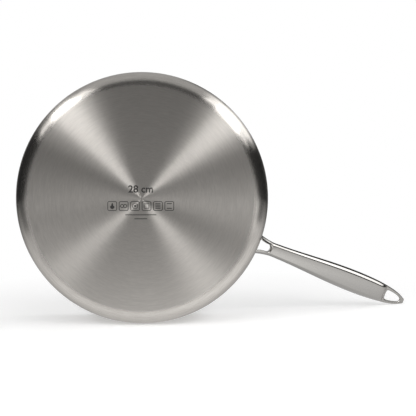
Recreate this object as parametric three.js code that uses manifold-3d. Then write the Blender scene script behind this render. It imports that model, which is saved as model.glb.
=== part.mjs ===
// A straight-sided saute pan: a three-layer clad body and a cast, forked handle held by two rivets.
// Millimetres, +Z up. The origin is the centre of the base's underside, and the handle runs along +X.
import * as THREE from "three";
import { mergeVertices } from "three/addons/utils/BufferGeometryUtils.js";
import Module from "manifold-3d";

const wasm = await Module();
wasm.setup();

// Pan body: outside sizes, then the three bonded layers from the outside in
const PAN_RADIUS = 140;
const PAN_HEIGHT = 70;
const CORNER_RADIUS = 17;
const OUTER_STEEL = 0.5;
const CORE_ALUMINIUM = 1.6;
const INNER_STEEL = 0.5;
const BOND_LINE = 0.02;

// Riveting flange, the curved plate that lies on the wall
const FLANGE_WIDTH = 50;
const FLANGE_HEIGHT = 22;
const FLANGE_THICKNESS = 2.6;
const FLANGE_CORNER = 8;
const FLANGE_LEVEL = 53;
const SEAT_GAP = 0.2;

// Rivets: a domed head inside the pan and a lower formed head outside the flange
const RIVET_SPACING = 36.6;
const RIVET_SHANK_RADIUS = 2.5;
const RIVET_HOLE_CLEARANCE = 0.3;
const RIVET_HEAD_RADIUS = 5;
const RIVET_HEAD_HEIGHT = 2.4;
const RIVET_TAIL_RADIUS = 4.2;
const RIVET_TAIL_HEIGHT = 1.6;
const RIVET_EDGE = 0.6;

// Handle in side view: the line of its upper edges climbs from the wall, more gently towards the tip
const HANDLE_LENGTH = 219;
const HANDLE_ROOT_LEVEL = 57;
const CLIMB_AT_WALL_DEGREES = 22;
const CLIMB_AT_TIP_DEGREES = 11.5;

// Handle in plan: distances along the handle are from the wall
const FORK_SPREAD = 24.8;
const PRONG_WIDTH = 4.4;
const NOTCH_DEPTH = 19;
const PRONG_MERGE = 8;
const NECK_WIDTH = 16.8;
const WIDEST_AT = 141;
const GRIP_WIDTH = 28.6;
const TIP_FULLNESS = 2.3;

// Handle in section: a hull-shaped belly under a slightly crowned top
const NECK_DEPTH = 9.5;
const GRIP_DEPTH = 11;
const CROWN = 1.2;
const NECK_SQUARENESS = 0.35;
const GRIP_SQUARENESS = 0.72;

// Hanging loop: the belly stops at a rounded shoulder, and a flat pointed loop goes on from there
const SHOULDER_AT = 188;
const SHOULDER_ROUND = 6;
const LOOP_THICKNESS = 4.4;
const LOOP_BAR = 3.6;
const LOOP_TIP = 5;
const LOOP_BRIDGE = 2.5;
const LOOP_EDGE = 0.6;

// How finely round shapes are cut into flats
const RING_SEGMENTS = 72;
const CORNER_SEGMENTS = 6;
const RIVET_SEGMENTS = 24;
const DOME_SEGMENTS = 4;
const SECTION_SEGMENTS = 24;
const GRIP_STEPS = 26;
const PRONG_STEPS = 6;
const LOOP_STEPS = 12;

const STEEL = { color: 0xb9b5ae, metalness: 1, roughness: 0.35 };
const ALUMINIUM = { color: 0xc8cacc, metalness: 1, roughness: 0.45 };

// A closed geometry as a solid that can be joined and cut
function toSolid(geometry) {
  const bare = geometry.clone();
  bare.deleteAttribute("normal");
  bare.deleteAttribute("uv");
  const merged = mergeVertices(bare, 1e-4);
  const corners = merged.getIndex().array;
  const kept = [];
  for (let i = 0; i < corners.length; i += 3) {
    const [a, b, c] = corners.slice(i, i + 3);
    if (a !== b && b !== c && c !== a) kept.push(a, b, c);
  }
  const vertProperties = new Float32Array(merged.getAttribute("position").array);
  return new wasm.Manifold(new wasm.Mesh({ numProp: 3, vertProperties, triVerts: new Uint32Array(kept) }));
}

function namedMesh(name, solid, look) {
  const { vertProperties, triVerts } = solid.getMesh();
  const geometry = new THREE.BufferGeometry();
  geometry.setAttribute("position", new THREE.BufferAttribute(vertProperties, 3));
  geometry.setIndex(new THREE.BufferAttribute(triVerts, 1));
  geometry.computeVertexNormals();
  const mesh = new THREE.Mesh(geometry, new THREE.MeshStandardMaterial(look));
  mesh.name = name;
  return mesh;
}

// A profile of (radius, height) points turned about the Z axis
function turned(profile, segments) {
  return new THREE.LatheGeometry(profile, segments).rotateX(Math.PI / 2);
}

// The pan's outline at a depth inside its outer surface, from the middle of the base up to the rim
function panOutline(depth) {
  const bend = CORNER_RADIUS - depth;
  const points = [new THREE.Vector2(0, depth)];
  for (let i = 0; i <= CORNER_SEGMENTS; i++) {
    const angle = (i / CORNER_SEGMENTS) * (Math.PI / 2);
    const radius = PAN_RADIUS - CORNER_RADIUS + bend * Math.sin(angle);
    points.push(new THREE.Vector2(radius, CORNER_RADIUS - bend * Math.cos(angle)));
  }
  points.push(new THREE.Vector2(PAN_RADIUS - depth, PAN_HEIGHT));
  return points;
}

function panLayer(depth, thickness) {
  const profile = [...panOutline(depth), ...panOutline(depth + thickness).reverse()];
  return toSolid(turned(profile, RING_SEGMENTS));
}

const CORE_DEPTH = OUTER_STEEL + BOND_LINE;
const LINER_DEPTH = CORE_DEPTH + CORE_ALUMINIUM + BOND_LINE;
const WALL = LINER_DEPTH + INNER_STEEL;

const FLANGE_INSIDE = PAN_RADIUS + SEAT_GAP;
const FLANGE_OUTSIDE = FLANGE_INSIDE + FLANGE_THICKNESS;

// Rivets lie along radii of the pan, each side of the handle
const RIVET_TURN = Math.asin(RIVET_SPACING / 2 / PAN_RADIUS);
const INSIDE_FLAT = (PAN_RADIUS - WALL) * Math.cos(Math.PI / RING_SEGMENTS);
const HEAD_SEAT = INSIDE_FLAT - SEAT_GAP;
const TAIL_SEAT = FLANGE_OUTSIDE + SEAT_GAP / 2;

// A geometry built along +Y, laid along the radius at a turn from +X, at the rivets' level
function alongRadius(geometry, turn) {
  return geometry.rotateZ(turn - Math.PI / 2).translate(0, 0, FLANGE_LEVEL);
}

// Half of a rivet's domed end: from its rounded edge to the axis
function dome(radius, seat, edge, height) {
  const points = [];
  for (let i = 0; i <= DOME_SEGMENTS; i++) {
    const angle = (i / DOME_SEGMENTS) * (Math.PI / 2);
    const out = edge + (height - edge) * Math.sin(angle);
    points.push(new THREE.Vector2(i < DOME_SEGMENTS ? radius * Math.cos(angle) : 0, seat + out));
  }
  return points;
}

function rivet(turn) {
  const head = dome(RIVET_HEAD_RADIUS, 0, RIVET_EDGE, RIVET_HEAD_HEIGHT);
  const headInside = head.reverse().map((p) => new THREE.Vector2(p.x, HEAD_SEAT - p.y));
  const profile = [
    ...headInside,
    new THREE.Vector2(RIVET_HEAD_RADIUS, HEAD_SEAT),
    new THREE.Vector2(RIVET_SHANK_RADIUS, HEAD_SEAT),
    new THREE.Vector2(RIVET_SHANK_RADIUS, TAIL_SEAT),
    new THREE.Vector2(RIVET_TAIL_RADIUS, TAIL_SEAT),
    ...dome(RIVET_TAIL_RADIUS, TAIL_SEAT, RIVET_EDGE, RIVET_TAIL_HEIGHT),
  ];
  return toSolid(alongRadius(new THREE.LatheGeometry(profile, RIVET_SEGMENTS), turn));
}

function rivetHole(turn) {
  const radius = RIVET_SHANK_RADIUS + RIVET_HOLE_CLEARANCE;
  const drill = new THREE.CylinderGeometry(radius, radius, PAN_RADIUS, RIVET_SEGMENTS);
  return toSolid(alongRadius(drill.translate(0, PAN_RADIUS, 0), turn));
}

function drilled(solid) {
  return solid.subtract(rivetHole(RIVET_TURN)).subtract(rivetHole(-RIVET_TURN));
}

// The plate that lies on the wall: a rounded rectangle cut out of a ring
function flange() {
  const ring = turned(
    [
      new THREE.Vector2(FLANGE_INSIDE, 0),
      new THREE.Vector2(FLANGE_OUTSIDE, 0),
      new THREE.Vector2(FLANGE_OUTSIDE, PAN_HEIGHT),
      new THREE.Vector2(FLANGE_INSIDE, PAN_HEIGHT),
      new THREE.Vector2(FLANGE_INSIDE, 0),
    ],
    RING_SEGMENTS,
  );
  const halfWidth = FLANGE_WIDTH / 2 - FLANGE_CORNER;
  const halfHeight = FLANGE_HEIGHT / 2 - FLANGE_CORNER;
  const face = new THREE.Shape();
  face.absarc(halfWidth, halfHeight, FLANGE_CORNER, 0, Math.PI / 2);
  face.absarc(-halfWidth, halfHeight, FLANGE_CORNER, Math.PI / 2, Math.PI);
  face.absarc(-halfWidth, -halfHeight, FLANGE_CORNER, Math.PI, Math.PI * 1.5);
  face.absarc(halfWidth, -halfHeight, FLANGE_CORNER, Math.PI * 1.5, Math.PI * 2);
  const block = new THREE.ExtrudeGeometry(face, {
    depth: FLANGE_OUTSIDE + FLANGE_THICKNESS,
    bevelEnabled: false,
    curveSegments: CORNER_SEGMENTS,
  });
  block.rotateX(Math.PI / 2).rotateZ(Math.PI / 2).translate(0, 0, FLANGE_LEVEL);
  return toSolid(ring).intersect(toSolid(block));
}

const { lerp, clamp, smoothstep, degToRad } = THREE.MathUtils;
const CLIMB_AT_WALL = Math.tan(degToRad(CLIMB_AT_WALL_DEGREES));
const CLIMB_AT_TIP = Math.tan(degToRad(CLIMB_AT_TIP_DEGREES));

// Height of the handle's upper edges, at a distance from the wall
function edgeLevel(along) {
  const fall = (CLIMB_AT_WALL - CLIMB_AT_TIP) / (2 * HANDLE_LENGTH);
  return HANDLE_ROOT_LEVEL + CLIMB_AT_WALL * along - fall * along * along;
}

// Half the handle's width in plan: a soft swell from the neck to the widest place, then an arch to the tip
function halfWidth(along) {
  const swell = (1 - Math.cos(Math.PI * clamp((along - NOTCH_DEPTH) / (WIDEST_AT - NOTCH_DEPTH), 0, 1))) / 2;
  if (along < WIDEST_AT) return lerp(NECK_WIDTH, GRIP_WIDTH, swell) / 2;
  const share = clamp((along - WIDEST_AT) / (HANDLE_LENGTH - WIDEST_AT), 0, 1);
  return (GRIP_WIDTH / 2) * Math.sqrt(1 - share ** TIP_FULLNESS);
}

// Depth of the belly under the upper edges, rounded off at the shoulder to the loop's thickness
function bellyDepth(along) {
  const depth = lerp(NECK_DEPTH, GRIP_DEPTH, smoothstep(along, NOTCH_DEPTH, WIDEST_AT));
  const into = clamp((along - SHOULDER_AT + SHOULDER_ROUND) / SHOULDER_ROUND, 0, 1);
  return lerp(LOOP_THICKNESS - LOOP_EDGE, depth, Math.sqrt(1 - into * into));
}

// A circle's coordinate drawn out towards a square. It is rounded first, so that the circle's two ends meet exactly
function squared(coordinate, squareness) {
  const exact = Math.round(coordinate * 1e6) / 1e6;
  return Math.sign(exact) * Math.abs(exact) ** squareness;
}

// A closed bar along +X. sizesAt gives, at a share of its length, the distance from the wall and the section
function sweptBar(steps, sizesAt) {
  const bar = new THREE.CylinderGeometry(1, 1, 1, SECTION_SEGMENTS, steps);
  const position = bar.getAttribute("position");
  for (let i = 0; i < position.count; i++) {
    const size = sizesAt(position.getY(i) + 0.5);
    const across = squared(position.getZ(i), size.squareness);
    const up = squared(position.getX(i), size.squareness);
    const side = size.centre + across * size.halfWidth;
    const level = edgeLevel(size.along) + up * (up > 0 ? CROWN : size.depth);
    position.setXYZ(i, PAN_RADIUS + size.along, side, level);
  }
  return toSolid(bar);
}

function grip() {
  return sweptBar(GRIP_STEPS, (share) => {
    const along = lerp(NOTCH_DEPTH, SHOULDER_AT, Math.sin((share * Math.PI) / 2));
    return {
      along,
      centre: 0,
      halfWidth: halfWidth(along),
      depth: bellyDepth(along),
      squareness: lerp(NECK_SQUARENESS, GRIP_SQUARENESS, smoothstep(along, NOTCH_DEPTH, WIDEST_AT)),
    };
  });
}

// One leg of the fork, from inside the flange's thickness into the neck
function prong(side) {
  const footRadius = FLANGE_INSIDE + FLANGE_THICKNESS / 2;
  const foot = Math.sqrt(footRadius ** 2 - (FORK_SPREAD / 2) ** 2) - PAN_RADIUS;
  return sweptBar(PRONG_STEPS, (share) => {
    const along = lerp(foot, NOTCH_DEPTH + PRONG_MERGE, share);
    const outerEdge = lerp(NECK_WIDTH, FORK_SPREAD, (1 - share) ** 2) / 2;
    return {
      along,
      centre: side * (outerEdge - PRONG_WIDTH / 2),
      halfWidth: PRONG_WIDTH / 2,
      depth: NECK_DEPTH,
      squareness: NECK_SQUARENESS,
    };
  });
}

// The pointed loop: its outer edge goes on along the handle's outline, round a bullet-shaped hole
function hangingLoop() {
  const start = SHOULDER_AT - SHOULDER_ROUND;
  const holeStart = SHOULDER_AT + LOOP_BRIDGE;
  const holeEnd = HANDLE_LENGTH - LOOP_TIP;
  const holeHalf = halfWidth(holeStart) - LOOP_BAR;
  const middle = (SHOULDER_AT + HANDLE_LENGTH) / 2;
  const climb = Math.atan((edgeLevel(HANDLE_LENGTH) - edgeLevel(start)) / (HANDLE_LENGTH - start));
  const inPlane = (along, side) => new THREE.Vector2((along - middle) / Math.cos(climb), side);

  const outer = [];
  const inner = [];
  for (let i = 0; i <= LOOP_STEPS; i++) {
    const share = Math.sin((i / LOOP_STEPS) * (Math.PI / 2));
    const along = lerp(start, HANDLE_LENGTH, share);
    const holeAlong = lerp(holeStart, holeEnd, share);
    outer.push(inPlane(along, halfWidth(along)));
    inner.push(inPlane(holeAlong, holeHalf * Math.sqrt(1 - share * share)));
  }
  const bothSides = (points) => {
    const mirrored = points.slice(0, -1).map((p) => new THREE.Vector2(p.x, -p.y));
    return [...mirrored, ...points.reverse()];
  };
  const plate = new THREE.Shape(bothSides(outer));
  plate.holes.push(new THREE.Path(bothSides(inner)));
  const geometry = new THREE.ExtrudeGeometry(plate, {
    depth: LOOP_THICKNESS - 2 * LOOP_EDGE,
    bevelThickness: LOOP_EDGE,
    bevelSize: LOOP_EDGE,
    bevelOffset: -LOOP_EDGE,
    bevelSegments: 1,
  });
  geometry.translate(0, 0, LOOP_EDGE - LOOP_THICKNESS).rotateY(-climb);
  return toSolid(geometry.translate(PAN_RADIUS + middle, 0, edgeLevel(middle)));
}

function handle() {
  return drilled(flange()).add(prong(1)).add(prong(-1)).add(grip()).add(hangingLoop());
}

const sautePan = new THREE.Group();
sautePan.add(
  namedMesh("outer_shell", drilled(panLayer(0, OUTER_STEEL)), STEEL),
  namedMesh("aluminium_core", drilled(panLayer(CORE_DEPTH, CORE_ALUMINIUM)), ALUMINIUM),
  namedMesh("inner_liner", drilled(panLayer(LINER_DEPTH, INNER_STEEL)), STEEL),
  namedMesh("handle", handle(), STEEL),
  namedMesh("rivet_left", rivet(RIVET_TURN), STEEL),
  namedMesh("rivet_right", rivet(-RIVET_TURN), STEEL),
);

export default sautePan;
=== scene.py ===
# %% [markdown]
# # A clad saute pan, seen from underneath
# The pan stands on its side wall with its brushed base to the camera, and the tip of its handle rests on
# the same floor. The model keeps its own frame all the same: base down, origin at the middle of the base,
# handle along +X. So it is the floor, the lights and the camera that are turned, and no piece of the pan
# is.

# %% Load the frame
import math

import bmesh
import bpy
from mathutils import Matrix, Vector


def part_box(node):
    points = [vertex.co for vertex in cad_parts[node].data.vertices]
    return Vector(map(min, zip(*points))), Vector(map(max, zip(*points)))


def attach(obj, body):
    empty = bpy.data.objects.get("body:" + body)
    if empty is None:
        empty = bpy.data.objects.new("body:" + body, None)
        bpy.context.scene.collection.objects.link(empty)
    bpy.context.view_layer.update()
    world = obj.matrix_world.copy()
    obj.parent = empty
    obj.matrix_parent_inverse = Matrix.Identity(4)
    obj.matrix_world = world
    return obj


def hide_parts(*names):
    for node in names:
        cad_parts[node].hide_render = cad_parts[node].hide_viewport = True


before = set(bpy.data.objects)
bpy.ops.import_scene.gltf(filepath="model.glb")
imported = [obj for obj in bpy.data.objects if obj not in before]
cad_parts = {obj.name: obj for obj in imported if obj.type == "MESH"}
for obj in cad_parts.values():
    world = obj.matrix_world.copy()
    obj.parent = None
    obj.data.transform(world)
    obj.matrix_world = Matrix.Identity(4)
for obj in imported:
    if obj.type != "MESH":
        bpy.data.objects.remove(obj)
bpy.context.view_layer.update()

MM = 0.001
print("nodes:", sorted(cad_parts))

# %% [markdown]
# ## Sizes and directions
# The pan's radius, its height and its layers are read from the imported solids, so the looks sit exactly
# where the construction is. The few sizes that a box can't tell, such as the corner's radius, are written
# out. The handle drops to the right in the photograph, and that slope gives the picture's own right, up and
# near.

# %% Sizes of the body
SHEET_STEEL = 0.5 * MM
BOND_LINE = 0.02 * MM
CORNER_RADIUS = 17 * MM
shell_high = Vector(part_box("outer_shell")[1])
PAN_RADIUS = shell_high.x
PAN_HEIGHT = shell_high.z
FLAT_RADIUS = PAN_RADIUS - CORNER_RADIUS
CORE_DEPTH = Vector(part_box("aluminium_core")[0]).z
LINER_DEPTH = Vector(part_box("inner_liner")[0]).z
WALL_THICKNESS = LINER_DEPTH + SHEET_STEEL
print(f"pan {2 * PAN_RADIUS / MM:.1f} mm across, {PAN_HEIGHT / MM:.1f} mm high")
print(f"wall {WALL_THICKNESS / MM:.2f} mm thick")

# %% Directions of the photograph
HANDLE_DROP = math.radians(22.415)
RIGHT = Vector((math.cos(HANDLE_DROP), -math.sin(HANDLE_DROP), 0))
UP = Vector((-math.sin(HANDLE_DROP), -math.cos(HANDLE_DROP), 0))
NEAR = Vector((0, 0, -1))
print("the picture's right and up:", RIGHT.to_tuple(3), UP.to_tuple(3))

# %% [markdown]
# ## Finishes
# The base was brushed on a lathe, so its scratches are circles round the pan's axis. Light spreads across a
# scratch and hardly along it, and that is what draws the bright bow-ties on the base. A picture of
# scratches would only look brushed from one side, and real scratches are far too many to model. The
# Principled shader's anisotropy spreads the light as the steel does, so it is used here: its tangent
# follows the circles, worked out from Object coordinates, and a quarter turn lays the wide spread across
# them. Fine rings of noise vary the tone and the roughness. On the rounded corner the brushing is finer.

# %% A short way to write shader nodes
class NodeTree:
    """The node tree of a material or a world, with a short call for each kind of node in this scene."""

    def __init__(self, owner):
        owner.use_nodes = True
        self.nodes = owner.node_tree.nodes
        self.links = owner.node_tree.links

    def fill(self, node, values):
        """Fills a node's inputs, by name or by number: a constant is set there, and an output is linked."""
        for name, value in values.items():
            if isinstance(value, bpy.types.NodeSocket):
                self.links.new(value, node.inputs[name])
            else:
                node.inputs[name].default_value = value

    def given(self, kind, output):
        """One output of a new node that is used as it comes."""
        return self.nodes.new(kind).outputs[output]

    def math(self, operation, first, second=0.0):
        node = self.nodes.new("ShaderNodeMath")
        node.operation = operation
        self.fill(node, {0: first, 1: second})
        return node.outputs["Value"]

    def vector(self, operation, first, second=(0, 0, 0), output="Vector"):
        node = self.nodes.new("ShaderNodeVectorMath")
        node.operation = operation
        self.fill(node, {0: first, 1: second})
        return node.outputs[output]

    def product(self, first, *others):
        for other in others:
            first = self.math("MULTIPLY", first, other)
        return first

    def less(self, value, share):
        """A value with a share of it taken off."""
        return self.product(value, self.math("SUBTRACT", 1, share))

    def blend(self, value, start, stop, at_start=0, at_stop=1):
        """Goes from one number at start to another at stop, and holds them beyond."""
        node = self.nodes.new("ShaderNodeMapRange")
        self.fill(node, {"Value": value, "From Min": start, "From Max": stop})
        self.fill(node, {"To Min": at_start, "To Max": at_stop})
        return node.outputs["Result"]

    def mix(self, share, first, second, kind="RGBA"):
        """Mixes two colours, or two numbers where kind is FLOAT."""
        node = self.nodes.new("ShaderNodeMix")
        node.data_type = kind
        self.fill(node, {"Factor": share, "A": first, "B": second})
        return node.outputs["Result"]

    def mix_shaders(self, share, first, second):
        node = self.nodes.new("ShaderNodeMixShader")
        self.fill(node, {0: share, 1: first, 2: second})
        return node.outputs["Shader"]

    def noise(self, place, scale, detail, fourth=None):
        """Noise at a place in space, or in four dimensions where a fourth number is given."""
        node = self.nodes.new("ShaderNodeTexNoise")
        self.fill(node, {"Vector": place, "Scale": scale, "Detail": detail})
        if fourth is not None:
            node.noise_dimensions = "4D"
            self.fill(node, {"W": fourth})
        return node.outputs["Fac"]


def new_material(name):
    """A material, its node tree and its Principled shader."""
    material = bpy.data.materials.new(name)
    tree = NodeTree(material)
    return material, tree, tree.nodes["Principled BSDF"]


# %% Rings of noise round the pan's axis
UPRIGHT = Vector((0, 0, 1))
RING_DETAIL = 2


def polar_place(tree):
    """The place on the pan, the direction from the pan's axis and the distance from it."""
    place = tree.given("ShaderNodeTexCoord", "Object")
    flat = tree.vector("MULTIPLY", place, (1, 1, 0))
    return place, tree.vector("NORMALIZE", flat), tree.vector("LENGTH", flat, output="Value")


def ring_noise(tree, polar, rings_per_metre, turns):
    """Noise drawn out along circles round the Z axis, with no seam."""
    place, direction, radius = polar
    drawn_out = tree.vector("MULTIPLY", direction, (turns, turns, 0))
    layer = tree.vector("MULTIPLY", place, (0, 0, rings_per_metre))
    where = tree.vector("ADD", drawn_out, layer)
    return tree.noise(where, 1, RING_DETAIL, fourth=tree.product(radius, rings_per_metre))


# %% Steel brushed in circles
FINE_SHARE = 0.6
RING_CONTRAST = (0.36, 0.64)
CORNER_BLEND = (FLAT_RADIUS - 1.5 * MM, FLAT_RADIUS + 5 * MM)
QUARTER_TURN = 0.25


def circle_brushed_steel(name, dark, light, roughness, unevenness, anisotropy, corner_share=1):
    """Steel brushed in circles. corner_share is how much of the roughness is left on the rounded corner."""
    material, tree, shader = new_material(name)
    polar = polar_place(tree)
    fine = ring_noise(tree, polar, rings_per_metre=1100, turns=12)
    coarse = ring_noise(tree, polar, rings_per_metre=420, turns=4)
    rings = tree.math("ADD", tree.product(fine, FINE_SHARE), tree.product(coarse, 1 - FINE_SHARE))
    grain = tree.blend(rings, *RING_CONTRAST)
    rough = tree.blend(grain, 0, 1, roughness + unevenness, roughness - unevenness)
    tree.fill(shader, {
        "Base Color": tree.mix(grain, (*dark, 1), (*light, 1)),
        "Roughness": tree.product(rough, tree.blend(polar[2], *CORNER_BLEND, 1, corner_share)),
        "Tangent": tree.vector("CROSS_PRODUCT", UPRIGHT, polar[1]),
        "Metallic": 1,
        "Anisotropic": anisotropy,
        "Anisotropic Rotation": QUARTER_TURN,
    })
    return material


outer_steel = circle_brushed_steel(
    "outer_brushed_steel", dark=(0.55, 0.524, 0.492), light=(0.625, 0.596, 0.56),
    roughness=0.30, unevenness=0.013, anisotropy=1.0, corner_share=0.72,
)
liner_steel = circle_brushed_steel(
    "liner_brushed_steel", dark=(0.56, 0.545, 0.525), light=(0.65, 0.635, 0.612),
    roughness=0.34, unevenness=0.02, anisotropy=0.8,
)
print("brushed:", outer_steel.name, liner_steel.name)

# %% [markdown]
# ## Grained metals
# The handle has a satin finish, the core shows a cut edge, the rivets are polished and the marks are etched.
# None of these has a direction, so plain noise does for all four: it varies the tone and the roughness a
# little and gives the surface a faint relief. One function makes them, and its numbers say how fine and how
# rough.

# %% Satin, cut, etched and polished metal
GRAIN_DETAIL = 4
GRAIN_CONTRAST = (0.35, 0.65)
ROUGHNESS_SHARES = (1.1, 0.9)
RELIEF_HEIGHT = 0.05 * MM


def grained_metal(name, dark, light, roughness, grains_per_metre, bump):
    material, tree, shader = new_material(name)
    noise = tree.noise(tree.given("ShaderNodeTexCoord", "Object"), grains_per_metre, GRAIN_DETAIL)
    grain = tree.blend(noise, *GRAIN_CONTRAST)
    relief = tree.nodes.new("ShaderNodeBump")
    tree.fill(relief, {"Strength": bump, "Distance": RELIEF_HEIGHT, "Height": noise})
    tree.fill(shader, {
        "Base Color": tree.mix(grain, (*dark, 1), (*light, 1)),
        "Roughness": tree.blend(grain, 0, 1, *(roughness * share for share in ROUGHNESS_SHARES)),
        "Normal": relief.outputs["Normal"],
        "Metallic": 1,
    })
    return material


handle_steel = grained_metal(
    "handle_satin_steel", dark=(0.545, 0.53, 0.506), light=(0.6, 0.583, 0.557),
    roughness=0.21, grains_per_metre=1400, bump=0.1,
)
core_metal = grained_metal(
    "core_cut_aluminium", dark=(0.70, 0.71, 0.72), light=(0.82, 0.83, 0.84),
    roughness=0.42, grains_per_metre=2600, bump=0.3,
)
etched_grey = grained_metal(
    "etched_grey", dark=(0.075, 0.073, 0.07), light=(0.11, 0.108, 0.104),
    roughness=0.55, grains_per_metre=3000, bump=0.1,
)
rivet_steel = grained_metal(
    "rivet_polished_steel", dark=(0.66, 0.65, 0.63), light=(0.72, 0.71, 0.69),
    roughness=0.2, grains_per_metre=2000, bump=0.1,
)
print("grained:", handle_steel.name, core_metal.name, etched_grey.name, rivet_steel.name)

# %% [markdown]
# ## The clad body
# Three sheets are rolled together and drawn as one: steel outside, aluminium in the middle, steel inside.
# One thick shell with lines painted on its rim would do from afar. Three closed pieces cost little more and
# are true at the rim, the one place that shows all three. Each is an outline in the XZ plane, spun about
# the pan's axis. Straight stretches come from extruding the last vertex, and round ones from spinning it
# about the arc's centre.

# %% Drawing an outline and spinning it
ACROSS = Vector((0, 1, 0))
WELD_DISTANCE = 0.001 * MM


def draw_line(bm, start, *stops):
    """Draws on from a vertex to each (x, z) in turn, and returns the last vertex."""
    for stop in stops:
        drawn = bmesh.ops.extrude_vert_indiv(bm, verts=[start])
        start = drawn["verts"][0]
        start.co = (stop[0], 0, stop[1])
    return start


def draw_arc(bm, start, centre, degrees, steps):
    """Draws on from a vertex along an arc round (x, z), and returns the last vertex."""
    drawn = bmesh.ops.spin(
        bm, geom=[start], cent=(centre[0], 0, centre[1]), axis=ACROSS,
        angle=math.radians(degrees), steps=steps, use_duplicate=False,
    )
    return next(item for item in drawn["geom_last"] if isinstance(item, bmesh.types.BMVert))


def spin_outline(bm, steps, axis):
    bmesh.ops.spin(
        bm, geom=bm.verts[:] + bm.edges[:], cent=(0, 0, 0), axis=axis,
        angle=math.tau, steps=steps, use_merge=True, use_duplicate=False,
    )
    bmesh.ops.remove_doubles(bm, verts=bm.verts[:], dist=WELD_DISTANCE)
    bmesh.ops.recalc_face_normals(bm, faces=bm.faces[:])


# %% Making a piece of a finished bmesh
def make_piece(bm, name, material, slot, *nodes):
    """A smooth piece on the pan's one body, in place of the nodes that it stands for."""
    for face in bm.faces:
        face.smooth = True
    mesh = bpy.data.meshes.new(name)
    bm.to_mesh(mesh)
    bm.free()
    mesh.materials.append(material)
    piece = bpy.data.objects.new(name, mesh)
    bpy.context.scene.collection.objects.link(piece)
    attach(piece, "root")
    if nodes:
        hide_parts(*nodes)
    print(f"{name}: {len(mesh.vertices)} vertices, {len(mesh.polygons)} faces")
    return piece


# %% [markdown]
# ## One layer's outline
# The outer face runs from the middle of the base, round the corner and up to the rim, and the inner face
# runs back. Every layer uses the same corner centre, so all of them lie parallel. Close rings beside the
# corner keep the flat base flat in smooth shading. The two outer edges of the rim are eased, as a polished
# rim's are, and the base is dished by a hair in its middle, which keeps its marks off the hob.

# %% Draw the two faces of a layer
CORNER_STEPS = 16
CORNER_CENTRE = (FLAT_RADIUS, CORNER_RADIUS)
FLAT_RINGS = (40 * MM, 80 * MM, 115 * MM, 122 * MM)
WALL_RINGS = (0.26 * PAN_HEIGHT, 0.5 * PAN_HEIGHT, 0.75 * PAN_HEIGHT, 0.98 * PAN_HEIGHT)
DISH_RADIUS = 60 * MM


def face_rings(depth, dish):
    """Where the rings of a layer's face lie: those on the base, and those up the wall."""
    base = [(radius, depth + dish * (radius < DISH_RADIUS)) for radius in FLAT_RINGS]
    wall = [(PAN_RADIUS - depth, height) for height in WALL_RINGS]
    return base, wall


def draw_outer_face(bm, depth, dish, rim):
    base, wall = face_rings(depth, dish)
    middle = bm.verts.new((0, 0, depth + dish))
    corner = draw_line(bm, middle, *base, (FLAT_RADIUS, depth))
    wall_foot = draw_arc(bm, corner, CORNER_CENTRE, -90, CORNER_STEPS)
    return draw_line(bm, wall_foot, *wall, (PAN_RADIUS - depth, rim))


def draw_inner_face(bm, rim, depth):
    base, wall = face_rings(depth, 0)
    wall_foot = draw_line(bm, rim, *reversed(wall), (PAN_RADIUS - depth, CORNER_RADIUS))
    corner = draw_arc(bm, wall_foot, CORNER_CENTRE, 90, CORNER_STEPS)
    return draw_line(bm, corner, *reversed(base), (0, depth))


# %% Spin the three layers
BODY_STEPS = 192
RIM_EASE = 0.35 * MM
EASE_MIDDLE = 0.3
BASE_DISH = 0.08 * MM


def body_layer(name, material, slot, node, depth, thickness, ease_outside=0, ease_inside=0, dish=0):
    """One closed layer that starts at a depth below the pan's outer face."""
    bm = bmesh.new()
    outside = PAN_RADIUS - depth
    inside = outside - thickness
    rim = draw_outer_face(bm, depth, dish, PAN_HEIGHT - ease_outside)
    if ease_outside:
        set_in = ease_outside * EASE_MIDDLE
        rim = draw_line(bm, rim, (outside - set_in, PAN_HEIGHT - set_in))
        rim = draw_line(bm, rim, (outside - ease_outside, PAN_HEIGHT))
    if ease_inside:
        set_in = ease_inside * EASE_MIDDLE
        rim = draw_line(bm, rim, (inside + ease_inside, PAN_HEIGHT))
        rim = draw_line(bm, rim, (inside + set_in, PAN_HEIGHT - set_in))
    rim = draw_line(bm, rim, (inside, PAN_HEIGHT - ease_inside))
    draw_inner_face(bm, rim, depth + thickness)
    spin_outline(bm, BODY_STEPS, UPRIGHT)
    return make_piece(bm, name, material, slot, node)


core_thickness = LINER_DEPTH - BOND_LINE - CORE_DEPTH
body_layer("outer_steel_skin", outer_steel, "outer_steel", "outer_shell", 0, SHEET_STEEL,
           ease_outside=RIM_EASE, dish=BASE_DISH)
body_layer("heat_spreading_core", core_metal, "core_aluminium", "aluminium_core", CORE_DEPTH, core_thickness)
body_layer("cooking_liner", liner_steel, "inner_steel", "inner_liner", LINER_DEPTH, SHEET_STEEL,
           ease_inside=RIM_EASE)

# %% [markdown]
# ## Etched marks
# The base carries a plain size, a row of six hob signs and two thin rules, all etched a little darker than
# the steel. They could be painted by the base's material, but crisp signs are easier to draw as shapes. So
# they are one thin flat piece that lies in the base's slight dish. A frame starts as a grid face whose
# corners are bevelled, and an inset leaves its stroke. The signs are plain ones: a flame, a coil, a glowing
# ring, a pot, three bars and an oven.

# %% Shapes for the marks
STROKE = 0.75 * MM
FRAME_CORNER_STEPS = 4
DISC_STEPS = 28


def at(x, y, width=1, height=1):
    return Matrix.Translation((x, y, 0)) @ Matrix.Diagonal((width, height, 1, 1))


def hollow(bm, face):
    """Leaves only a stroke along the edge of a face."""
    face.normal_update()
    bmesh.ops.inset_region(bm, faces=[face], thickness=STROKE, use_boundary=True, use_even_offset=True)
    bmesh.ops.delete(bm, geom=[face], context="FACES")


def bar(bm, x, y, width, height):
    place = at(x, y, width, height)
    return bmesh.ops.create_grid(bm, x_segments=1, y_segments=1, size=0.5, matrix=place)["verts"]


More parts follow.
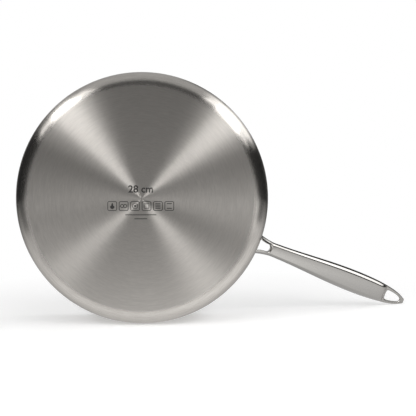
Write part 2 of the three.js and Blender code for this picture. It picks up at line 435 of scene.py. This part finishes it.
def rounded_frame(bm, x, y, side, corner):
    rounded = bmesh.ops.bevel(
        bm, geom=bar(bm, x, y, side, side), offset=corner, offset_type="OFFSET",
        segments=FRAME_CORNER_STEPS, profile=0.5, affect="VERTICES", material=-1,
    )
    hollow(bm, rounded["verts"][0].link_faces[0])


def disc(bm, x, y, radius):
    drawn = bmesh.ops.create_circle(bm, cap_ends=True, segments=DISC_STEPS, radius=radius, matrix=at(x, y))
    return drawn["verts"]


def ring(bm, x, y, radius):
    hollow(bm, disc(bm, x, y, radius)[0].link_faces[0])


# %% The six signs
def flame(bm, x, y, radius=2.4 * MM, drop=0.9 * MM, slimness=0.55, stretch=1.3):
    """A disc whose upper part is drawn in and up."""
    for vertex in disc(bm, x, y - drop, radius):
        rise = vertex.co.y - y
        if rise > 0:
            vertex.co.x = x + (vertex.co.x - x) * slimness
            vertex.co.y += rise * stretch


def coil(bm, x, y, radius=2.1 * MM, half_pitch=1.7 * MM):
    for side in (-half_pitch, half_pitch):
        ring(bm, x + side, y, radius)


def glow(bm, x, y, radius=3.2 * MM, spot=1.2 * MM):
    ring(bm, x, y, radius)
    disc(bm, x, y, spot)


def pot(bm, x, y, half_height=2.4 * MM, base=5.4 * MM, lid=6.2 * MM):
    half_width = 2.6 * MM
    wall_height = 3.4 * MM
    wall_drop = 0.4 * MM
    bar(bm, x, y - half_height, base, STROKE)
    for side in (-half_width, half_width):
        bar(bm, x + side, y - wall_drop, STROKE, wall_height)
    bar(bm, x, y + half_height, lid, STROKE)


def bars(bm, x, y, pitch=2.3 * MM, width=5.6 * MM, height=1.1 * MM):
    for rise in (-pitch, 0, pitch):
        bar(bm, x, y + rise, width, height)


def oven(bm, x, y, half_height=2.6 * MM, width=5.4 * MM, height=0.9 * MM):
    for rise in (half_height, -half_height):
        bar(bm, x, y + rise, width, height)


# %% Draw the signs and the rules
SIGNS = (flame, coil, glow, pot, bars, oven)
SIGN_SIDE = 10.4 * MM
SIGN_PITCH = 12.4 * MM
SIGN_CORNER = 1.8 * MM
MARKS_MIDDLE = -1.0 * MM
SIGN_LEVEL = -7.9 * MM
RULE_HEIGHT = 0.9 * MM
RULES = ((-17.5 * MM, 34 * MM), (-21.8 * MM, 14 * MM))

marks = bmesh.new()
for place, sign in enumerate(SIGNS):
    sign_middle = MARKS_MIDDLE + (place - (len(SIGNS) - 1) / 2) * SIGN_PITCH
    rounded_frame(marks, sign_middle, SIGN_LEVEL, SIGN_SIDE, SIGN_CORNER)
    sign(marks, sign_middle, SIGN_LEVEL)
for level, width in RULES:
    bar(marks, MARKS_MIDDLE, level, width, RULE_HEIGHT)
print(f"{len(SIGNS)} signs and {len(RULES)} rules: {len(marks.faces)} faces")

# %% Add the size and lay the marks in the dish
SIZE_LEVEL = 10.2 * MM
SIZE_HEIGHT = 11 * MM
SIZE_BOLDNESS = 0.25 * MM
MARK_LEVEL = 0.03 * MM


def turn_to(x_axis, y_axis, z_axis):
    """The turn that lays X, Y and Z along three given directions."""
    return Matrix((x_axis, y_axis, z_axis)).transposed().to_4x4()


letters = bpy.data.curves.new("size_letters", "FONT")
letters.body = "28 cm"
letters.size = SIZE_HEIGHT
letters.offset = SIZE_BOLDNESS
letters.align_x = "CENTER"
letters.align_y = "CENTER"
letters_object = bpy.data.objects.new("size_letters", letters)
size_mesh = bpy.data.meshes.new_from_object(letters_object)
size_mesh.transform(at(MARKS_MIDDLE, SIZE_LEVEL))
marks.from_mesh(size_mesh)
bpy.data.objects.remove(letters_object)
bpy.data.meshes.remove(size_mesh)
bpy.data.curves.remove(letters)

on_the_base = Matrix.Translation((0, 0, MARK_LEVEL)) @ turn_to(RIGHT, UP, NEAR)
bmesh.ops.transform(marks, matrix=on_the_base, verts=marks.verts[:])
make_piece(marks, "etched_marks", etched_grey, "outer_steel")

# %% [markdown]
# ## The rivets
# A solid rivet goes through the flange and the three layers. It has a low dome inside the pan and a flatter
# head outside, formed when it was driven. Two squashed spheres and a cylinder would leave hidden faces
# inside. One outline, drawn along X and spun about X, makes a closed piece, which is then turned to its
# place on the wall.

# %% Spin the two rivets
RIVET_STEPS = 48
DOME_STEPS = 10
SHANK_RADIUS = 2.5 * MM
HEAD_RADIUS = 5 * MM
HEAD_HEIGHT = 2.4 * MM
TAIL_RADIUS = 4.2 * MM
TAIL_HEIGHT = 1.6 * MM
HEAD_EDGE = 0.5 * MM
EDGE_ROUND = 0.3
DOME_SHARE = 0.985
SEAT_SHARE = 0.98
FLANGE_THICKNESS = 2.6 * MM
SEAT_GAP = 0.2 * MM
HEAD_SEAT = PAN_RADIUS - WALL_THICKNESS - SEAT_GAP
TAIL_SEAT = PAN_RADIUS + FLANGE_THICKNESS + 1.5 * SEAT_GAP
RIVET_AXIS = Vector((1, 0, 0))


def dome_points(seat, radius, height, towards):
    """From the seat, round a short edge and over a dome to the axis."""
    points = [(seat + towards * HEAD_EDGE * EDGE_ROUND, radius)]
    for step in range(DOME_STEPS):
        angle = math.pi / 2 * step / DOME_STEPS
        rise = HEAD_EDGE + (height - HEAD_EDGE) * math.sin(angle)
        points.append((seat + towards * rise, radius * DOME_SHARE * math.cos(angle)))
    return points + [(seat + towards * height, 0)]


def rivet(name, node):
    low, high = (Vector(corner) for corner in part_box(node))
    middle = (low + high) / 2
    head = dome_points(HEAD_SEAT, HEAD_RADIUS, HEAD_HEIGHT, -1)
    shank = [(HEAD_SEAT, HEAD_RADIUS * SEAT_SHARE), (HEAD_SEAT, SHANK_RADIUS), (TAIL_SEAT, SHANK_RADIUS)]
    tail = [(TAIL_SEAT, TAIL_RADIUS)] + dome_points(TAIL_SEAT, TAIL_RADIUS, TAIL_HEIGHT, 1)
    top, *rest = head[::-1] + shank + tail
    bm = bmesh.new()
    draw_line(bm, bm.verts.new((top[0], 0, top[1])), *rest)
    spin_outline(bm, RIVET_STEPS, RIVET_AXIS)
    turn = Matrix.Rotation(math.atan2(middle.y, middle.x), 4, "Z")
    bmesh.ops.transform(bm, matrix=Matrix.Translation((0, 0, middle.z)) @ turn, verts=bm.verts[:])
    return make_piece(bm, name, rivet_steel, "rivet_steel", node)


rivet("left_rivet", "rivet_left")
rivet("right_rivet", "rivet_right")

# %% [markdown]
# ## The cast handle
# The handle is one casting: a curved flange on the wall, two prongs with a gap between them, a hull-shaped
# grip and a flat pointed loop. Holes cut from a solid would have sharp rims, which a casting never has. So
# it is a coarse cage that a Subdivision Surface rounds off. The cage starts as a flat grid, six faces wide.
# The faces over the gap and over the loop's hole are deleted, and extruding what is left gives the cage its
# depth and the walls of both openings at once. Then each row of vertices is moved to its place along the
# handle. Because rounding draws a cage in, its bars are a little wider than the finished ones.

# %% The handle's lines, as in the construction
HANDLE_LENGTH = 219 * MM
ROOT_LEVEL = 57 * MM
CLIMB_AT_WALL = math.tan(math.radians(22))
CLIMB_AT_TIP = math.tan(math.radians(11.5))
NOTCH_DEPTH = 19 * MM
FORK_START = 2 * MM
FORK_END = 1.42 * NOTCH_DEPTH
WIDEST_AT = 141 * MM
FORK_HALF = 12.4 * MM
NECK_HALF = 8.4 * MM
GRIP_HALF = 14.3 * MM
TIP_FULLNESS = 2.3


def edge_level(along):
    """The height of the handle's edge at a distance from the wall."""
    fall = (CLIMB_AT_WALL - CLIMB_AT_TIP) / (2 * HANDLE_LENGTH)
    return ROOT_LEVEL + CLIMB_AT_WALL * along - fall * along * along


def half_width(along):
    """Half the handle's width: a fork that narrows to a neck, a grip that swells, and a pointed tip."""
    if along < FORK_END:
        share = max(along - FORK_START, 0) / (FORK_END - FORK_START)
        return NECK_HALF + (FORK_HALF - NECK_HALF) * (1 - share) ** 2
    if along < WIDEST_AT:
        swell = (1 - math.cos(math.pi * (along - NOTCH_DEPTH) / (WIDEST_AT - NOTCH_DEPTH))) / 2
        return NECK_HALF + (GRIP_HALF - NECK_HALF) * swell
    share = min((along - WIDEST_AT) / (HANDLE_LENGTH - WIDEST_AT), 1)
    return GRIP_HALF * math.sqrt(1 - share ** TIP_FULLNESS)


print(f"handle tip at x {(PAN_RADIUS + HANDLE_LENGTH) / MM:.0f}, z {edge_level(HANDLE_LENGTH) / MM:.1f} mm")

# %% How far to the side the cage reaches
PRONG_STATIONS = (4, 9, 13.5)
GRIP_STATIONS = (18.5, 24, 34, 55, 85, 115, 141, 162, 174, 181, 184.6, 187, 188.4)
LOOP_STATIONS = (191, 196, 202, 208, 212.5)
TIP_STATIONS = (216.5, 219)
STATIONS = [along * MM for along in PRONG_STATIONS + GRIP_STATIONS + LOOP_STATIONS + TIP_STATIONS]
NOTCH_END_ROW = len(PRONG_STATIONS)
HOLE_START_ROW = NOTCH_END_ROW + len(GRIP_STATIONS)
HOLE_END_ROW = HOLE_START_ROW + len(LOOP_STATIONS) - 1
LAST_ROW = len(STATIONS) - 1
PRONG_WIDTH = 5.2 * MM
PRONG_MIDDLE = 0.5
NOTCH_END_MIDDLE = 0.45
NOTCH_END_HALF = 4.7 * MM
SHOULDER_AT = 188 * MM
LOOP_BRIDGE = 3 * MM
LOOP_BAR = 5.2 * MM
LOOP_TIP = 5.4 * MM
TIP_HALF = 3.0 * MM
TIP_INNER = 0.4
HULL_SIDES = (0, 0.65, 0.857, 0.945)
TOP_SIDES = (0, 0.5, 0.86, 1)
HOLE_START = SHOULDER_AT + LOOP_BRIDGE
HOLE_END = HANDLE_LENGTH - LOOP_TIP


def hole_half(along):
    """Half the width of the loop's hole, which narrows to its end as an ellipse does."""
    share = min(max((along - HOLE_START) / (HOLE_END - HOLE_START), 0), 1)
    return (half_width(HOLE_START) - LOOP_BAR) * math.sqrt(1 - share * share)


def cage_sides(row, top):
    """How far from the middle the columns of a row lie, from the middle one to the outer one."""
    along = STATIONS[row]
    outer = TIP_HALF if row == LAST_ROW else half_width(along)
    if row < NOTCH_END_ROW:
        return (0, outer - PRONG_WIDTH, outer - PRONG_MIDDLE * PRONG_WIDTH, outer)
    if row == NOTCH_END_ROW:
        return (0, NOTCH_END_HALF, outer - NOTCH_END_MIDDLE * PRONG_WIDTH, outer)
    if row >= HOLE_START_ROW:
        inner = hole_half(along) if row <= HOLE_END_ROW else outer * TIP_INNER
        return (0, inner, (inner + outer) / 2, outer)
    return tuple(outer * share for share in (TOP_SIDES if top else HULL_SIDES))


print(f"cage of {len(STATIONS)} rows, loop's hole {2 * hole_half(HOLE_START) / MM:.1f} mm wide")

# %% Where the cage's vertices lie
COLUMNS = 6
HALF_COLUMNS = COLUMNS // 2
NECK_DEPTH = 9.5 * MM
GRIP_DEPTH = 11 * MM
LOOP_THICKNESS = 4.4 * MM
SHOULDER_ROUND = 7 * MM
SHOULDER_EASE = (SHOULDER_AT - 2 * MM, SHOULDER_AT + 0.3 * MM)
CROWN = 1.2 * MM
HULL_LEVELS = (1.04, 0.985, 0.74, 0.36)
PRONG_LEVELS = (1.04, 0.985, 0.92, 0.58)
NOTCH_END_SHIFTS = (1.4 * MM, -0.9 * MM)
NOTCH_RAKE = 1.8 * MM


def ease(value, low, high):
    """Goes from 0 at low to 1 at high, with a soft start and a soft end."""
    share = min(max((value - low) / (high - low), 0), 1)
    return share * share * (3 - 2 * share)


def cage_depth(along):
    """How deep the handle is: a grip that deepens, then a round shoulder down to the flat loop."""
    full_depth = NECK_DEPTH + (GRIP_DEPTH - NECK_DEPTH) * ease(along, NOTCH_DEPTH, WIDEST_AT)
    turn = min(max((along - SHOULDER_AT) / SHOULDER_ROUND + 1, 0), 1)
    return LOOP_THICKNESS + (full_depth - LOOP_THICKNESS) * math.sqrt(1 - turn * turn)


def cage_point(row, column, top):
    """Where a cage vertex lies. column runs from -3 to 3 across the handle."""
    along = STATIONS[row]
    reach = abs(column)
    side = math.copysign(cage_sides(row, top)[reach], column) if column else 0
    hull = 1 - ease(along, *SHOULDER_EASE)
    levels = HULL_LEVELS if row > NOTCH_END_ROW else PRONG_LEVELS
    if top:
        level = CROWN * (HALF_COLUMNS - reach) / HALF_COLUMNS * hull
    else:
        level = -cage_depth(along) * (1 - hull * (1 - levels[reach]))
    shift = 0
    if row == NOTCH_END_ROW and reach < len(NOTCH_END_SHIFTS):
        shift = NOTCH_END_SHIFTS[reach] + (0 if top else NOTCH_RAKE)
    return Vector((PAN_RADIUS + along + shift, side, edge_level(along) + level))


print(f"grip {cage_depth(WIDEST_AT) / MM:.1f} mm deep, loop {cage_depth(HANDLE_LENGTH) / MM:.1f} mm thick")

# %% Build the grip from a slab with two openings
SAME_PLACE_DIGITS = 5


def place_key(vertex):
    return tuple(round(number, SAME_PLACE_DIGITS) for number in vertex.co)


def slab(bm, rows, columns, is_open):
    """A grid with some of its faces left out, given depth. Returns {(row, column, top): vertex}."""
    grid = bmesh.ops.create_grid(bm, x_segments=rows, y_segments=columns, size=1)["verts"]
    place = {v: (round((v.co.x + 1) / 2 * rows), round((v.co.y + 1) / 2 * columns)) for v in grid}
    faces = list(dict.fromkeys(face for v in grid for face in v.link_faces))
    gone = [face for face in faces if is_open(*min(place[v] for v in face.verts))]
    kept = [face for face in faces if face not in gone]
    bmesh.ops.delete(bm, geom=gone, context="FACES")
    low = {place[v]: v for v in grid if v.is_valid}
    where = {place_key(v): key for key, v in low.items()}
    raised = bmesh.ops.extrude_face_region(bm, geom=kept)["geom"]
    high = {where[place_key(v)]: v for v in raised if isinstance(v, bmesh.types.BMVert)}
    return {(*key, top): v for top, level in ((False, low), (True, high)) for key, v in level.items()}


def open_in_handle(row, column):
    """The gap between the prongs and the loop's hole, both two faces wide."""
    in_middle = column in (HALF_COLUMNS - 1, HALF_COLUMNS)
    return in_middle and (row < NOTCH_END_ROW or HOLE_START_ROW <= row < HOLE_END_ROW)


cage = bmesh.new()
grip = slab(cage, LAST_ROW, COLUMNS, open_in_handle)
for (row, column, top), vertex in grip.items():
    vertex.co = cage_point(row, column - HALF_COLUMNS, top)
print(f"grip: {len(grip)} cage vertices")

# %% Add the flange
FLANGE_SIDES = (25 * MM, 18.5 * MM, 13 * MM, 10.2 * MM, 7.4 * MM)
FLANGE_LEVELS = (42 * MM, 49.1 * MM, 58.6 * MM, 64 * MM)
FLANGE_PLACES = [-side for side in FLANGE_SIDES] + list(reversed(FLANGE_SIDES))
FLANGE_ROWS = len(FLANGE_PLACES) - 1
FLANGE_COLUMNS = len(FLANGE_LEVELS) - 1


def flange_point(row, column, top):
    """Where a vertex of the flange lies: on the wall inside, and a plate's thickness out from it outside."""
    side = FLANGE_PLACES[row]
    radius = PAN_RADIUS + SEAT_GAP + (FLANGE_THICKNESS if top else 0)
    return Vector((math.sqrt(radius * radius - side * side), side, FLANGE_LEVELS[column]))


flange = slab(cage, FLANGE_ROWS, FLANGE_COLUMNS, lambda row, column: False)
for (row, column, top), vertex in flange.items():
    vertex.co = flange_point(row, column, top)
print(f"flange: {len(flange)} cage vertices")

# %% Bridge each prong to its foot on the flange
FOOT_LEVELS = (1, 2)
PRONG_TO_FOOT = (((0, 1, 2), (2, 3, 4)), ((4, 5, 6), (5, 6, 7)))


def open_end(bm, corners):
    """Deletes the faces that lie wholly among some vertices and returns the edges that were round them."""
    around = dict.fromkeys(face for vertex in corners for face in vertex.link_faces)
    faces = [face for face in around if set(face.verts) <= set(corners)]
    edges = dict.fromkeys(edge for face in faces for edge in face.edges)
    rim = [edge for edge in edges if sum(face in faces for face in edge.link_faces) == 1]
    bmesh.ops.delete(bm, geom=faces, context="FACES")
    return rim


for grip_columns, flange_rows in PRONG_TO_FOOT:
    prong_end = [grip[0, column, top] for column in grip_columns for top in (False, True)]
    foot = [flange[row, level, True] for row in flange_rows for level in FOOT_LEVELS]
    bmesh.ops.bridge_loops(cage, edges=open_end(cage, prong_end) + open_end(cage, foot))
bmesh.ops.recalc_face_normals(cage, faces=cage.faces[:])
print(f"cage: {len(cage.verts)} vertices, {len(cage.faces)} faces")

# %% Crease the rim, the flange's edge and the edges of the handle's bevel
RIM_CREASE = 0.5
BEVEL_CREASE = 0.85
BEVEL_COLUMNS = (1, 2, 4, 5)
ROUNDING_LEVELS = 3
shoulder_row = next(row for row, along in enumerate(STATIONS) if along > SHOULDER_AT - SHOULDER_ROUND)
grip_rows = range(NOTCH_END_ROW + 1, LAST_ROW + 1)
grip_edges = {grip[row, column, True] for row in grip_rows for column in (0, COLUMNS)}
tip_edge = {grip[LAST_ROW, column, True] for column in range(COLUMNS + 1)}
flange_edge = {
    vertex for (row, column, top), vertex in flange.items()
    if row in (0, FLANGE_ROWS) or column in (0, FLANGE_COLUMNS)
}
bevel_lines = [{grip[row, column, False] for row in range(shoulder_row + 1)} for column in BEVEL_COLUMNS]
crease = cage.edges.layers.float.new("crease_edge")


def crease_lines(sharpness, lines):
    for line in lines:
        for edge in cage.edges:
            if set(edge.verts) <= line:
                edge[crease] = sharpness


crease_lines(RIM_CREASE, (grip_edges, tip_edge, flange_edge))
crease_lines(BEVEL_CREASE, bevel_lines)
handle = make_piece(cage, "cast_handle", handle_steel, "handle_steel", "handle")
rounding = handle.modifiers.new("rounding", "SUBSURF")
rounding.levels = ROUNDING_LEVELS
rounding.render_levels = ROUNDING_LEVELS

# %% [markdown]
# ## The stage
# In the photograph's view the pan lies on its wall, so that view's floor is a sheet that touches the wall
# and the handle's tip. Its back is see-through, so it hides nothing from the other side. A plain white
# sheet would fill the steel with white, and the base would lose its dark sectors. So the sheet is white to
# the camera, and in reflections it glows with painted light: a painted pool of light at the pan's foot and
# one to either side of it, with painted shade under the pan and level with it. A second sheet, level with
# the base, is the table in views from above, and only the camera's own rays meet it. All places on the
# stage are given as the photograph sees them: right, up and near.

# %% A sheet of floor
FLOOR_SIZE = 8
PAPER_ROUGHNESS = 0.9


def stage_place(right, up, near):
    return RIGHT * right + UP * up + NEAR * near


def grey(tone):
    return (tone, tone, tone, 1)


def paper(tree, shader, tone, glow):
    """Makes a Principled shader into matt paper that glows a little by itself."""
    tree.fill(shader, {
        "Base Color": tone,
        "Emission Color": grey(1),
        "Emission Strength": glow,
        "Roughness": PAPER_ROUGHNESS,
        "Specular IOR Level": 0,
    })
    return shader.outputs["BSDF"]


def floor_sheet(name, place, material):
    bm = bmesh.new()
    bmesh.ops.create_grid(bm, x_segments=1, y_segments=1, size=FLOOR_SIZE / 2)
    bmesh.ops.transform(bm, matrix=place, verts=bm.verts[:])
    mesh = bpy.data.meshes.new(name)
    bm.to_mesh(mesh)
    bm.free()
    mesh.materials.append(material)
    sheet = bpy.data.objects.new(name, mesh)
    bpy.context.scene.collection.objects.link(sheet)
    print(f"{name}: {FLOOR_SIZE} m wide, {material.name}")
    return sheet


# %% The table, for views from above
TABLE_TONE = 0.75
TABLE_GLOW = 0.42
TABLE_LEVEL = -0.05 * MM


def camera_only_white(name):
    """A pale floor for the camera's own rays from above. It neither blocks nor mirrors any other light."""
    material, tree, shader = new_material(name)
    from_below = tree.given("ShaderNodeNewGeometry", "Backfacing")
    shown = tree.less(tree.given("ShaderNodeLightPath", "Is Camera Ray"), from_below)
    clear = tree.given("ShaderNodeBsdfTransparent", "BSDF")
    surface = tree.mix_shaders(shown, clear, paper(tree, shader, grey(TABLE_TONE), TABLE_GLOW))
    tree.fill(tree.nodes["Material Output"], {"Surface": surface})
    return material


floor_sheet("table_floor", Matrix.Translation((0, 0, TABLE_LEVEL)), camera_only_white("table_white"))

# %% The painted light and shade that the steel sees on the photograph's floor
FAR_TONE = 0.035
POOL_TONE = 0.94
POOL_WIDTH = 0.35
POOL_DEPTH = 0.18
SHADE_SHARE = 0.45
SHADE_SIDES = (0.15, 0.3)
SHADE_FRONT = (-0.06, -0.02)
SIDE_TONES = (0.75, 1.2)
SIDE_BLEND = (-0.3, 0.3)
SIDE_PLACE = (0.55, 0.6)
SIDE_WIDTH = 0.3
SIDE_DEPTH = 0.35
# The band of painted shade level with the pan: how dark it gets and where it shows.
SHADED_BAND_SHARE = 0.95
SHADED_BAND_SIDES = (0.42, 0.6)
SHADED_BAND_BACK = (-0.05, 0.1)
SHADED_BAND_SLOPES = (0.85, 1.7)


def pool(tree, tone, wide, deep):
    """A pool of light that fades away from its middle, where wide and deep are both 0."""
    spread = tree.math("ADD", tree.product(wide, wide), tree.product(deep, deep))
    return tree.math("DIVIDE", tone, tree.math("ADD", spread, 1))


def short_of(tree, value, goal, length):
    """How many lengths a value falls short of its goal, as a number below 0, and 0 past the goal."""
    gap = tree.math("MINIMUM", tree.math("SUBTRACT", value, goal), 0)
    return tree.math("DIVIDE", gap, length)


def foot_pool(tree, right, near, aside):
    """A painted pool of light at the pan's foot, with painted shade under the pan itself."""
    wide = tree.math("DIVIDE", right, POOL_WIDTH)
    deep = tree.math("DIVIDE", near, POOL_DEPTH)
    # Painted shade: the pool is dimmed under the pan itself.
    shade = tree.product(
        tree.blend(aside, *SHADE_SIDES, SHADE_SHARE, 0),
        tree.blend(near, *SHADE_FRONT, 1, 0),
    )
    return tree.less(pool(tree, POOL_TONE, wide, deep), shade)


def side_pools(tree, right, near, aside):
    """Painted pools of light to either side, with a gap of painted shade level with the pan, which gives the
    corner its dark edges.
    """
    wide = short_of(tree, aside, SIDE_PLACE[0], SIDE_WIDTH)
    deep = short_of(tree, near, SIDE_PLACE[1], SIDE_DEPTH)
    slope = tree.math("DIVIDE", near, aside)
    # Painted shade: a dark gap in the side pools, level with the pan.
    gap = tree.product(
        tree.blend(aside, *SHADED_BAND_SIDES, 0, SHADED_BAND_SHARE),
        tree.blend(near, *SHADED_BAND_BACK),
        tree.blend(slope, *SHADED_BAND_SLOPES, 1, 0),
    )
    return tree.less(pool(tree, tree.blend(right, *SIDE_BLEND, *SIDE_TONES), wide, deep), gap)


# %% The photograph's floor
FLOOR_TONE = 0.9
FLOOR_GLOW = 0.3
FLOOR_BEHIND = 0.9
SHADOW_REACH = (0.25, 0.5)
FLOOR_FOOT = stage_place(0.05, -PAN_RADIUS, 0.04)


def one_sided_white(name, foot):
    """White to the camera. In reflections it glows with painted pools of light and painted shade. The back is
    see-through.
    """
    material, tree, shader = new_material(name)
    from_foot = tree.vector("SUBTRACT", tree.given("ShaderNodeTexCoord", "Object"), foot)
    right = tree.vector("DOT_PRODUCT", from_foot, RIGHT, output="Value")
    near = tree.vector("DOT_PRODUCT", from_foot, NEAR, output="Value")
    aside = tree.math("ABSOLUTE", right)
    # Painted light and shade on the floor, which only reflections see: other rays meet no lit paper, only
    # this glow on a dim ground.
    painted_reflected_light = tree.math("ADD", foot_pool(tree, right, near, aside), side_pools(tree, right, near, aside))
    camera_ray = tree.given("ShaderNodeLightPath", "Is Camera Ray")
    glow = tree.mix(camera_ray, tree.math("ADD", painted_reflected_light, FAR_TONE), FLOOR_GLOW, kind="FLOAT")
    shaded = paper(tree, shader, tree.product(camera_ray, FLOOR_TONE), glow)
    distance = tree.vector("LENGTH", from_foot, output="Value")
    clean = tree.product(tree.blend(distance, *SHADOW_REACH), camera_ray)
    front = tree.mix_shaders(clean, shaded, tree.given("ShaderNodeEmission", "Emission"))
    clear = tree.given("ShaderNodeBsdfTransparent", "BSDF")
    surface = tree.mix_shaders(tree.given("ShaderNodeNewGeometry", "Backfacing"), front, clear)
    tree.fill(tree.nodes["Material Output"], {"Surface": surface})
    return material


floor_middle = stage_place(0, -PAN_RADIUS, FLOOR_SIZE / 2 - FLOOR_BEHIND)
floor_place = Matrix.Translation(floor_middle) @ turn_to(RIGHT, UP.cross(RIGHT), UP)
floor_sheet("photo_floor", floor_place, one_sided_white("floor_white", FLOOR_FOOT))

# %% [markdown]
# ## Light
# Two narrow strip boxes stand above and to either side of the camera, and each draws one bright bow-tie
# across the base. Two wide ones just behind them broaden the highlights on the rounded corner. The rest of
# the studio could be built of cards. Painting it on the world is simpler, because only the direction
# matters: dark in front and at the sides, paler above and on the walls, and bright below the horizon.

# %% Strip boxes
LEFT_TURN = 135.5
RIGHT_TURN = 45.3


def strip_box(name, turn, off_axis, distance, width, length, power):
    """A strip light that faces the pan's middle, with its long side pointing at the pan's axis.

    turn is its angle round that axis from the picture's right, and off_axis its angle from the axis, both in
    degrees.
    """
    around = math.radians(turn)
    tip = math.radians(off_axis)
    outwards = stage_place(math.cos(around), math.sin(around), 0)
    facing_away = outwards * math.sin(tip) + NEAR * math.cos(tip)
    lengthwise = outwards * math.cos(tip) - NEAR * math.sin(tip)
    light = bpy.data.lights.new(name, "AREA")
    light.shape = "RECTANGLE"
    light.size = width
    light.size_y = length
    light.energy = power
    lamp = bpy.data.objects.new(name, light)
    axes = turn_to(lengthwise.cross(facing_away), lengthwise, facing_away)
    lamp.matrix_world = Matrix.Translation(facing_away * distance) @ axes
    lamp.visible_camera = False
    bpy.context.scene.collection.objects.link(lamp)
    print(f"{name}: {width} by {length} m, {power} W")
    return lamp


strip_box("box_left", LEFT_TURN, off_axis=53, distance=1.6, width=0.32, length=1.42, power=6.0)
strip_box("box_right", RIGHT_TURN, off_axis=52, distance=1.6, width=0.33, length=1.46, power=6.5)
strip_box("wide_left", LEFT_TURN, off_axis=58.5, distance=1.65, width=0.80, length=1.0, power=3.8)
strip_box("wide_right", RIGHT_TURN, off_axis=60.5, distance=1.65, width=0.80, length=1.12, power=4.3)

# %% Directions in the studio, and its horizon
HORIZON = (0.03, -0.005)
HORIZON_TONE = 1.2
HORIZON_LIFT = 0.025
LIFT_BLEND = (0.0, 0.15)
LENS_PLACE = -0.11
LENS_BLEND = (0.05, 0.18)

world = bpy.data.worlds.new("studio")
bpy.context.scene.world = world
studio = NodeTree(world)
towards = studio.given("ShaderNodeTexCoord", "Generated")
rightwards, upwards, nearwards = (
    studio.vector("DOT_PRODUCT", towards, direction, output="Value") for direction in (RIGHT, UP, NEAR)
)
beside_lens = studio.math("ABSOLUTE", studio.math("SUBTRACT", rightwards, LENS_PLACE))
lift = studio.blend(rightwards, *LIFT_BLEND, 0, HORIZON_LIFT)
below = studio.blend(studio.math("SUBTRACT", upwards, lift), *HORIZON)
bright_below = studio.product(below, studio.blend(beside_lens, *LENS_BLEND))
horizon = studio.mix(bright_below, grey(0), grey(HORIZON_TONE))
print(f"horizon at {HORIZON[0]}, bright {HORIZON_TONE}")

# %% Paint the studio's walls
# A panel is a name, a tone and its edges. An edge is a direction's number where the panel starts to show and
# the number where it shows in full.
PANELS = (
    ("dark sides", 0.02, (studio.math("ABSOLUTE", rightwards), 0.15, 0.5)),
    ("above", 0.55, (upwards, 0.58, 0.74), (nearwards, 0.72, 0.62)),
    ("wall on the right", 1.2, (rightwards, 0.5, 0.62), (upwards, 0.4, 0.5), (nearwards, 0.2, 0.0)),
    ("top of that wall", 2.4, (rightwards, 0.45, 0.58), (upwards, 0.46, 0.54), (nearwards, 0.2, 0.0),
     (nearwards, -0.4, -0.2)),
    ("wall on the left", 0.3, (rightwards, -0.45, -0.6), (upwards, 0.45, 0.6), (nearwards, 0.2, 0.0)),
    ("behind the pan", 0.6, (nearwards, -0.6, -0.85)),
    ("dark flag", 0.03, (rightwards, 0.1, 0.2), (rightwards, 0.7, 0.6), (upwards, -0.2, -0.1),
     (nearwards, -0.58, -0.68)),
)

painted = horizon
for name, tone, *edges in PANELS:
    share = studio.product(*(studio.blend(*edge) for edge in edges))
    painted = studio.mix(share, painted, grey(tone))
    print(f"{name}: {tone}")

# %% White for the camera, the painted studio for the steel
surround = studio.nodes["Background"]
studio.fill(surround, {"Color": painted})
white = studio.nodes.new("ShaderNodeBackground")
studio.fill(white, {"Color": grey(1)})
camera_ray = studio.given("ShaderNodeLightPath", "Is Camera Ray")
seen = studio.mix_shaders(camera_ray, surround.outputs["Background"], white.outputs["Background"])
studio.fill(studio.nodes["World Output"], {"Surface": seen})
bpy.context.scene.view_settings.view_transform = "Standard"
print("world:", world.name, "shown by", bpy.context.scene.view_settings.view_transform)

# %% [markdown]
# ## The camera
# The camera stands a little to the right of the pan's middle and looks almost straight at the base, tipped
# down by two degrees. A Track To constraint could aim it, but its place and its turn were worked out
# together, from the pan's outline, the middle of the brushing and the handle's tip, so both are set
# outright.

# %% Place the camera
CAMERA_ASIDE = 0.07217
CAMERA_ABOVE = 0.01191
CAMERA_AWAY = 0.65305
CAMERA_PITCH = math.radians(1.926)
CAMERA_YAW = math.radians(1.572)
PHOTO_SIDE = 416
FOCAL_PIXELS = 600
SENSOR_WIDTH = 36

camera_data = bpy.data.cameras.new("camera")
camera_data.sensor_width = SENSOR_WIDTH
camera_data.lens = SENSOR_WIDTH * FOCAL_PIXELS / PHOTO_SIDE
camera = bpy.data.objects.new("camera", camera_data)
bpy.context.scene.collection.objects.link(camera)
look_right = RIGHT * math.cos(CAMERA_YAW) + NEAR * math.sin(CAMERA_YAW)
level_away = -NEAR * math.cos(CAMERA_YAW) + RIGHT * math.sin(CAMERA_YAW)
look_up = UP * math.cos(CAMERA_PITCH) + level_away * math.sin(CAMERA_PITCH)
look_back = UP * math.sin(CAMERA_PITCH) - level_away * math.cos(CAMERA_PITCH)
camera_place = look_right * CAMERA_ASIDE + UP * CAMERA_ABOVE - level_away * CAMERA_AWAY
camera.matrix_world = Matrix.Translation(camera_place) @ turn_to(look_right, look_up, look_back)
bpy.context.scene.camera = camera
print(f"camera: lens {camera_data.lens:.1f} mm, {CAMERA_AWAY} m away")
